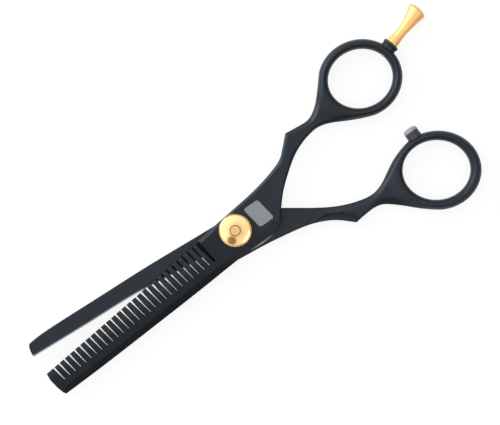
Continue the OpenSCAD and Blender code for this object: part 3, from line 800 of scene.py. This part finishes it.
def bumper_rubber():
    """Dark rubber with painted light: its rounded outer end is coloured pale grey, as if lit from above."""
    material, nodes, shader, where = new_finish("grey rubber", (0.05, 0.055, 0.065), 0.0, 0.35)
    up = nodes.axes(where)["Y"]
    seat = cad_span("bumper")[0][1]
    cloud = grain(nodes, where, 500.0, 3.0)
    height = nodes.math("MULTIPLY_ADD", cloud, 0.3, nodes.math("MULTIPLY_ADD", up, 1 / MM, -seat))
    # Painted light: the colour turns pale grey from 2.5 to 3 mm above the seat.
    pale = nodes.ramp(height, (2.5, 3.0))
    dark = mix_color(nodes, cloud, (0.012, 0.015, 0.019), (0.020, 0.024, 0.029))
    light = mix_color(nodes, cloud, (0.20, 0.21, 0.25), (0.26, 0.27, 0.32))
    nodes.plug(mix_color(nodes, pale, dark, light), shader, "Base Color")
    bump(nodes, shader, grain(nodes, where, 2200.0, 3.0), 0.01, 0.5)
    rough_between(nodes, shader, grain(nodes, where, 900.0, 2.0), 0.34, 0.46)
    return material


def nylon():
    material, nodes, shader, where = new_finish("nylon", (0.75, 0.74, 0.7), 0.0, 0.45)
    vary(nodes, shader, grain(nodes, where, 200.0, 3.0), (0.70, 0.69, 0.64), (0.80, 0.79, 0.75))
    bump(nodes, shader, grain(nodes, where, 1500.0, 2.0), 0.01, 0.3)
    return material


def spring_steel():
    material, nodes, shader, where = new_finish("spring steel", (0.55, 0.56, 0.58), 1.0, 0.3)
    drawn = nodes.add("ShaderNodeMapping", {"Vector": where, "Scale": (300, 300, 4000)}).outputs[0]
    lines = nodes.add("ShaderNodeTexNoise", {"Vector": drawn, "Scale": 1.0}).outputs["Fac"]
    vary(nodes, shader, lines, (0.48, 0.49, 0.51), (0.62, 0.63, 0.65))
    rough_between(nodes, shader, lines, 0.22, 0.38)
    return material


# ---------------------------------------------------------------- the two halves

def shank_height(x, ride, ring):
    return ride + (ring - ride) * ease((x - SHANK_X0) / (SHANK_X1 - SHANK_X0))


def ring_share(p, centre, hole, turn):
    """1 on the ring's band, falling to 0 in the web."""
    beyond = (oval_reach(p, centre, hole, turn)[0] - 1) * hole.mean()
    return 1 - ease((beyond - RING_BAND / 2) / 4.5)


def blade_height(x, at_tip, at_pivot):
    return at_tip + (at_pivot - at_tip) * np.clip((x + BLADE_REACH) / (BLADE_REACH - 10), 0, 1)


def comb_faces(p):
    x = p[:, 0]
    top = np.where(x < 0, blade_height(x, COMB_Z0 + TIP_THICK, COMB_Z1), shank_height(x, COMB_Z1, WEB_TOP))
    bottom = np.where(x < 0, COMB_Z0, shank_height(x, COMB_Z0, WEB_LOW))
    along = (TOOTH_HEEL - TOOTH_TIP) / np.linalg.norm(TOOTH_HEEL - TOOTH_TIP)
    rel = p - TOOTH_TIP
    back = -(rel[:, 1] * along[0] - rel[:, 0] * along[1])
    thin = COMB_Z0 + TOOTH_TIP_THICK + (COMB_Z1 - COMB_Z0 - TOOTH_TIP_THICK) * back / 6
    top = np.where(x < TOOTH_HEEL[0], np.minimum(top, thin), top)
    ring = ring_share(p, FINGER_RING, FINGER_HOLE, FINGER_TURN) * (x > SHANK_X1)
    top = top + (RING_TOP - top) * ring
    bottom = bottom * (1 - ring)
    bottom = np.where(np.hypot(*p.T) < GLIDE_R, COMB_Z0 + 0.2, bottom)
    return top, bottom


def plain_faces(p):
    x = p[:, 0]
    top = np.where(x < 0, PLAIN_Z1, shank_height(x, PLAIN_Z1, WEB_TOP))
    blade = blade_height(x, PLAIN_Z1 - TIP_THICK, PLAIN_Z0)
    bottom = np.where(x < 0, blade, shank_height(x, PLAIN_Z0, WEB_LOW))
    ring = ring_share(p, THUMB_RING, THUMB_HOLE, THUMB_TURN) * (x > SHANK_X1)
    top = top + (RING_TOP - top) * ring
    bottom = bottom * (1 - ring)
    top = np.where(np.hypot(*p.T) < GLIDE_R, PLAIN_Z1 - 0.2, top)
    return top, bottom


# Edge shapes. After x: width, depth as a share of half the thickness, and roundness from -1, a hollow
# grind, through 0, a flat bevel, to 1, a full round; first for the upper face and then for the lower.
RING_EDGE = (1.6, 0.985, 1, 1.6, 0.985, 1)
COMB_EDGES = {
    "start": (0.25, 0.15, 0.5, 0.1, 0.06, 0.5),
    "rim": RING_EDGE,
    "lower": [
        (-77, 2.1, 1.15, 0.1, 0.1, 0.06, 0.5), (-10, 2.3, 1.1, 0.1, 0.1, 0.06, 0.5),
        (-4, 2.7, 0.85, 0, 0.2, 0.1, 0.5), (12.8, 2.3, 0.95, 0, 0.2, 0.1, 0.5),
        (13.1, 0.4, 0.35, 0.2, 0.3, 0.2, 0.5), (17, 0.4, 0.35, 0.2, 0.3, 0.2, 0.5),
        (25, 0.7, 0.5, 0.4, 0.5, 0.4, 1), (33, 1.5, 0.8, 0.9, 0.8, 0.6, 1),
        (40, 1.7, 0.9, 0.9, 1.2, 0.8, 1), (46, 2.3, 0.95, 0.7, 1.6, 0.9, 1), (54, *RING_EDGE)],
    "upper": [
        (-12.5, 1.4, 0.5, 0, 0.1, 0.06, 0.5), (-5, 1.1, 0.45, 0, 0.2, 0.1, 0.5),
        (4, 0.7, 0.42, 0, 0.3, 0.2, 0.5), (22, 0.8, 0.5, 0.1, 0.3, 0.2, 0.5),
        (26, 1.3, 0.5, 0.9, 0.4, 0.3, 0.5), (31, 1.3, 0.55, 0.9, 0.5, 0.5, 0.5),
        (31.8, 1.3, 0.75, 0.1, 0.5, 0.5, 0.5), (40, 1.5, 0.85, 0.25, 1.0, 0.8, 1),
        (45, 1.7, 0.9, 0.8, 1.4, 0.9, 1), (51, *RING_EDGE)],
}
PLAIN_EDGES = {
    "start": (0.15, 0.08, 0.5, 0.4, 0.3, 0.5),
    "rim": RING_EDGE,
    "upper": [
        (-77, 0.12, 0.06, 0.5, 2.5, 1.1, 0.1), (-12, 0.12, 0.06, 0.5, 2.5, 1.1, 0.1),
        (-4, 0.2, 0.1, 0.5, 0.6, 0.4, 0.1), (10, 0.2, 0.1, 0.5, 0.5, 0.4, 0.5),
        (16, 0.35, 0.25, 0.2, 0.5, 0.4, 0.5), (25.5, 0.4, 0.3, 0.3, 0.5, 0.4, 0.8),
        (29, 1.9, 0.5, 0.3, 0.7, 0.5, 1), (38, 2.0, 0.8, 0.6, 1.1, 0.8, 1),
        (47, 1.7, 0.9, 0.8, 1.5, 0.9, 1), (55, *RING_EDGE)],
    "lower": [
        (-77, HONED_W, 0.06, 0, 3.0, 1.7, 0), (HONED_END_X, HONED_W, 0.06, 0, 3.0, 1.7, 0),
        (-13.5, 0.2, 0.06, 0.5, 0.3, 0.2, 0.5), (-4.5, 0.3, 0.25, 0.1, 0.3, 0.2, 0.5),
        (3, 0.45, 0.35, 0.1, 0.3, 0.2, 0.5), (16, 0.35, 0.3, 0.1, 0.4, 0.4, 0.5),
        (22, 0.5, 0.35, -0.3, 0.5, 0.5, 0.5), (24.5, 1.7, 0.55, -0.9, 0.7, 0.6, 0.8),
        (27, 2.6, 0.7, -0.95, 0.7, 0.6, 0.8), (33, 2.8, 0.75, -0.95, 0.8, 0.7, 0.8),
        (33.5, 0.8, 0.6, 0.6, 0.8, 0.7, 0.8), (40, 1.0, 0.8, 0.6, 1.1, 0.8, 1),
        (43, 2.0, 0.9, 0, 1.1, 0.8, 1), (48, 2.6, 0.95, 0.1, 1.5, 0.9, 1),
        (53, 2.5, 0.97, 0.5, 1.6, 0.95, 1), (57, *RING_EDGE)],
}


def round_hole(centre, half, turn, count, edge):
    """A hole's loop, clockwise, with one edge shape all round."""
    loop = oval(centre, half, turn, np.linspace(2 * math.pi, 0, count, endpoint=False))
    return np.column_stack([loop, np.tile(edge, (count, 1))])


def circle_line(radius, count=72):
    return oval((0, 0), (radius, radius), 0, np.linspace(0, 2 * math.pi, count))


def half_mesh(name, outline, ring, hole, turn, bore, faces_at):
    """A half with its finger hole, its bore, and the seat of the glide washer."""
    bore_edge = (0.05, 0.02, 0, 0.05, 0.02, 0)
    loops = [outline, round_hole(ring, hole, turn, 150, RING_EDGE),
             round_hole((0, 0), (bore, bore), 0, 64, bore_edge)]
    seat = [circle_line(GLIDE_R - 0.01), circle_line(GLIDE_R + 0.01)]
    return plate_mesh(name, loops, faces_at, seat)


def comb_piece():
    start = [TOOTH_HEEL, TOOTH_TIP, TOOTH_TIP + (-0.15, -2.3),
             TOOTH_TIP + (0.3, -5.6), TOOTH_TIP + (0.9, -8)]
    outline = half_outline(COMB_SPINE, COMB_TOP, start, FINGER_RING,
                           FINGER_HOLE + RING_BAND, FINGER_TURN, COMB_EDGES)
    piece, _, _ = half_mesh("comb_half_shape", outline, FINGER_RING, FINGER_HOLE, FINGER_TURN,
                            2.83, comb_faces)
    return piece


def plain_piece():
    start = [(-76.2, 8.8), (-76.7, 7.4), (-77, 5.4)]
    outline = half_outline(PLAIN_EDGE, PLAIN_SPINE, start, THUMB_RING + THUMB_RIM_SHIFT,
                           THUMB_HOLE + RING_BAND, THUMB_TURN, PLAIN_EDGES)
    piece, xy, n = half_mesh("plain_half_shape", outline, THUMB_RING, THUMB_HOLE, THUMB_TURN,
                             2.24, plain_faces)
    # The honed strip: upper vertices within its width of the cutting edge.
    edge_y = smooth_line(PLAIN_EDGE, np.clip(xy[:, 0], -77, -13.7))
    honed = (xy[:, 0] < HONED_END_X) & (xy[:, 1] - edge_y < HONED_W)
    values = np.concatenate([honed, np.zeros(n, bool)]).astype(float)
    attribute = piece.data.attributes.new("honed", "FLOAT", "POINT")
    attribute.data.foreach_set("value", values)
    return piece


comb_finish, plain_finish = comb_coat(), ground_coat()
gold_turned, gold_satin = turned_gold(), satin_gold()
nylon_finish, steel_finish = nylon(), spring_steel()
washer_finish = rubber("black rubber", (0.006, 0.006, 0.007), (0.010, 0.010, 0.012), 0.5, 0.62)
bumper_finish = bumper_rubber()


def wear(obj, material):
    obj.data.materials.clear()
    obj.data.materials.append(material)
    return obj


comb = comb_piece()
slope = math.atan2(*(TOOTH_HEEL - TOOTH_TIP)[::-1])
tooth_line = np.linalg.norm(TOOTH_HEEL - TOOTH_TIP)
cutter_z = COMB_Z0 + 1
grow_nodes(comb, slot_cutting_tree(), {
    "Slots": SLOT_COUNT,
    "Pitch": (tooth_line - END_TOOTH_W) / (SLOT_COUNT - 1) * MM,
    "First": END_TOOTH_W * MM,
    "Slope": slope,
    "Lean": SLOT_LEAN,
    "Line start": (TOOTH_TIP[0] * MM - math.sin(slope + SLOT_LEAN) * MOUTH_REACH * MM,
                   TOOTH_TIP[1] * MM + math.cos(slope) * MOUTH_REACH * MM, cutter_z * MM),
    "Short": (SLOT_LEN_TIP + MOUTH_REACH) * MM,
    "Long": (SLOT_LEN_HEEL + MOUTH_REACH) * MM,
    "Root width": SLOT_ROOT_W * MM,
    "Mouth width": SLOT_MOUTH_W * MM,
    "Relief width": RELIEF_SLOT_W * MM,
    "Heel share": SLOT_HEEL_SHARE,
    "Flare": SLOT_FLARE,
    "Material": comb_finish})
wear(soften(comb, 26), comb_finish)

plain = wear(soften(plain_piece(), 26), plain_finish)


# ---------------------------------------------------------------- dial, finger rest, bumper

def dial_piece():
    low, high = dial_low[2], dial_high[2]
    core = (dial_high[0] - dial_low[0]) / 2 - 0.34
    cavity_r, cavity_top = 4.4, 8.53
    key_r, key_top = 2.25, 9.13
    bore = 1.64
    dome = [(r, high - 0.02 - 0.75 * (r / 5)**2) for r in np.linspace(core - 0.3, bore + 0.14, 18)]
    profile = ([(cavity_r, cavity_top), (cavity_r, low + 0.1), (cavity_r + 0.1, low), (core - 0.25, low),
                (core, low + 0.25), (core, high - 1.1), (core - 0.06, high - 0.9), (core - 0.18, high - 0.8)]
               + dome + [(bore, high - 0.25), (bore, key_top), (key_r, key_top), (key_r, cavity_top)])
    return spin("tension_dial_shape", profile, 144, closed=True)


dial = dial_piece()
grow_nodes(dial, knurl_tree(), {
    "Ridges": KNURL_RIDGES,
    "Radius": (dial_high[0] - 0.21) * MM,
    "Height": (dial_high[2] - dial_low[2] - 1.0) * MM,
    "Depth": KNURL_DEPTH * MM,
    "Middle": ((dial_high[2] + dial_low[2]) / 2 - 0.28) * MM,
    "Material": gold_turned})
wear(soften(dial, 30), gold_turned)


REST_ANGLE = math.radians(13)
REST_OFFSET = -0.3
REST_SEAT = 10.6 + RING_BAND + 0.4
REST_WASHER_H = 1.0


def at_rest(verts):
    """Turns a piece made along z onto the finger rest's axis."""
    out = np.empty_like(verts)
    x, y, z = verts[:, 2], verts[:, 1] + REST_OFFSET, -verts[:, 0]
    out[:, 0] = FINGER_RING[0] + x * math.cos(REST_ANGLE) - y * math.sin(REST_ANGLE)
    out[:, 1] = FINGER_RING[1] + x * math.sin(REST_ANGLE) + y * math.cos(REST_ANGLE)
    out[:, 2] = RING_TOP / 2 + z
    return out


def rest_piece():
    length, bow, dome = 13.2, 0.8, 1.3
    waist, base_r, end_r, dip = 1.65, 2.1, 3.2, 0.33
    squeeze = RING_TOP / 2 / end_r
    base = REST_SEAT + REST_WASHER_H + 0.02

    def radius(t):
        if t < dip:
            return waist + (base_r - waist) * (1 - t / dip)**2
        return waist + (end_r - waist) * ((t - dip) / (1 - dip))**1.8

    stud_end, stud_r = 10.1, 1.24
    stud = [(0, stud_end), (0.7, stud_end + 0.08), (1.05, stud_end + 0.3),
            (stud_r, stud_end + 0.8), (stud_r, base)]
    body = [(radius(t) - (0.12 if t == 0 else 0), base + length * t) for t in np.linspace(0, 0.975, 44)]
    end = [((end_r - 0.03) * math.cos(b)**0.9, base + length + (dome - 0.05) * math.sin(b))
           for b in np.radians(np.linspace(2, 82, 14))]

    def place(verts):
        along = np.maximum(verts[:, 2] - base, 0) / length
        on_stem = verts[:, 2] >= base
        verts[:, 0] *= np.where(on_stem, squeeze, 1)
        verts[:, 1] += bow * along**2
        return at_rest(verts)

    return spin("finger_rest_shape", stud + body + end + [(0, base + length + dome - 0.05)], 64, place)


def washer_piece():
    r, low, high = 2.74, REST_SEAT + 0.01, REST_SEAT + REST_WASHER_H
    profile = rounded([(1.31, low), (r, low), (r, high), (1.31, high), (1.31, low)], 0.4)
    return spin("rest_washer_shape", profile[:-1], 64, at_rest, closed=True)


def boss_piece():
    """The small boss on the ring that the finger rest screws into."""
    foot = REST_SEAT - 2.6
    profile = rounded([(0, foot), (2.5, foot), (2.55, REST_SEAT), (0, REST_SEAT)], 0.3)
    return spin("boss", profile, 48, at_rest)


comb_with_boss = join("comb_half_shape", [comb, boss_piece()])
wear(soften(comb_with_boss, 26), comb_finish)

rest = wear(soften(rest_piece(), 35), gold_satin)
washer = wear(soften(washer_piece(), 40), washer_finish)

bumper_low, bumper_high = cad_span("bumper")


def bumper_piece():
    r = (bumper_high[0] - bumper_low[0]) / 2
    height = bumper_high[1] - bumper_low[1]
    corners = [(0.92, 2.0), (0.92, 0.0, 0.02), (r, 0.0, 0.15), (r - 0.12, 1.5, 0.9), (r, height - 0.4, 1.1),
               (0, height + 0.05)]
    profile = [(0, 2.0)] + rounded(corners, 0.3, 7)[:-1] + [(0, height - 0.02)]
    centre = (bumper_high + bumper_low) / 2

    def place(verts):
        x, y, z = verts.T
        return np.column_stack([centre[0] + x, bumper_low[1] + z, centre[2] - y])

    return spin("bumper_shape", profile, 64, place)


bumper = wear(soften(bumper_piece(), 40), bumper_finish)


# ---------------------------------------------------------------- riding and finishes

for piece, body, node, slot in (
        (comb_with_boss, "finger_half", "comb_half", "black_coated_steel"),
        (plain, "thumb_half", "plain_half", "black_coated_steel"),
        (dial, "dial", "tension_dial", "gold_metal"),
        (rest, "finger_half", "finger_rest", "gold_metal"),
        (washer, "finger_half", "rest_washer", "black_rubber"),
        (bumper, "thumb_half", "bumper", "bumper_rubber")):
    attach(piece, body)
    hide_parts(node)

for node, material in (
        ("pivot_post", gold_turned),
        ("pivot_bush", nylon_finish),
        ("glide_washer", nylon_finish),
        ("spring_washer", steel_finish),
        ("click_plate", steel_finish),
        ("bumper_pin", steel_finish)):
    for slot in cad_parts[node].material_slots:
        slot.material = material


# ---------------------------------------------------------------- floor, light and camera

def floor_piece():
    size, low = 700.0, -0.02
    corners = [(-size, -size, low), (size, -size, low), (size, size, low), (-size, size, low)]
    floor = make_piece("floor", corners, [(0, 1, 2, 3)])
    material, nodes, shader, _ = new_finish("pale floor", (0.9, 0.9, 0.9), 0.0, 0.9)
    path = nodes.add("ShaderNodeLightPath").outputs
    seen = nodes.math("MAXIMUM", path["Is Camera Ray"], path["Is Transmission Ray"])
    white = nodes.add("ShaderNodeEmission", {"Color": (1, 1, 1, 1), "Strength": 1.0})
    share = nodes.math("MULTIPLY", seen, 0.86)
    mix = nodes.add("ShaderNodeMixShader", {0: share, 1: shader.outputs[0], 2: white.outputs[0]})
    output = material.node_tree.nodes["Material Output"]
    nodes.plug(mix.outputs[0], output, "Surface")
    floor.data.materials.append(material)


def set_world():
    world = bpy.data.worlds.new("studio")
    bpy.context.scene.world = world
    world.use_nodes = True
    nodes = Tree(world.node_tree)
    back = world.node_tree.nodes["Background"]
    path = nodes.add("ShaderNodeLightPath").outputs
    # The tent is brightest beyond the finger ring's side, and darkest on the thumb's.
    toward = nodes.add("ShaderNodeTexCoord").outputs["Generated"]

    def facing(direction):
        turned = nodes.add("ShaderNodeVectorMath", {0: toward, 1: direction}, operation="DOT_PRODUCT")
        return turned.outputs["Value"]

    soft = nodes.ramp(facing((-0.42, 0.80, 0.30)), (-0.6, 1.0), (0.14, 1.5))
    # Panels round the camera, and the dark lens hood beside it.
    height = facing((0, 0, 1))
    inner = nodes.ramp(height, (0.985, 0.93))
    outer = nodes.ramp(height, (0.62, 0.72), (0, 0.55))
    hood = nodes.ramp(facing((-0.337, -0.241, 0.909)), (0.976, 0.990), (1.0, 0.2))
    soft = nodes.math("MULTIPLY", nodes.math("MULTIPLY_ADD", inner, outer, soft), hood)
    strength = nodes.ramp(path["Is Camera Ray"], out=(soft, 1.0))
    nodes.plug(strength, back, "Strength")
    back.inputs["Color"].default_value = (1, 1, 1, 1)


def add_lamp(name, at, size, power):
    light = bpy.data.lights.new(name, "AREA")
    light.shape = "RECTANGLE"
    light.size, light.size_y = size[0] * MM, size[1] * MM
    light.energy = power
    lamp = bpy.data.objects.new(name, light)
    bpy.context.scene.collection.objects.link(lamp)
    spot = Vector(at) * MM
    lamp.location = spot
    lamp.rotation_euler = (-spot).to_track_quat("-Z", "Y").to_euler()


def set_camera():
    """Looks straight down on the shears, with their length rising to the right."""
    centre, width, above = Vector((7.25, 1.89, 4.5)), 161.7, 620.0
    roll = math.radians(36)
    right = Vector((math.cos(roll), -math.sin(roll), 0))
    up = Vector((math.sin(roll), math.cos(roll), 0))
    data = bpy.data.cameras.new("camera")
    data.sensor_width = 36
    data.lens = 36 * above / width
    data.clip_start, data.clip_end = 0.01, 10
    camera = bpy.data.objects.new("camera", data)
    bpy.context.scene.collection.objects.link(camera)
    at = (centre + Vector((0, 0, above))) * MM
    camera.matrix_world = Matrix(((right.x, up.x, 0, at.x), (right.y, up.y, 0, at.y),
                                  (0, 0, 1, at.z), (0, 0, 0, 1)))
    bpy.context.scene.camera = camera


floor_piece()
set_world()
add_lamp("main softbox", (-160, 400, 190), (340, 240), 1.5)
add_lamp("fill", (150, -330, 380), (300, 300), 0.5)
set_camera()
bpy.context.scene.view_settings.view_transform = "Standard"
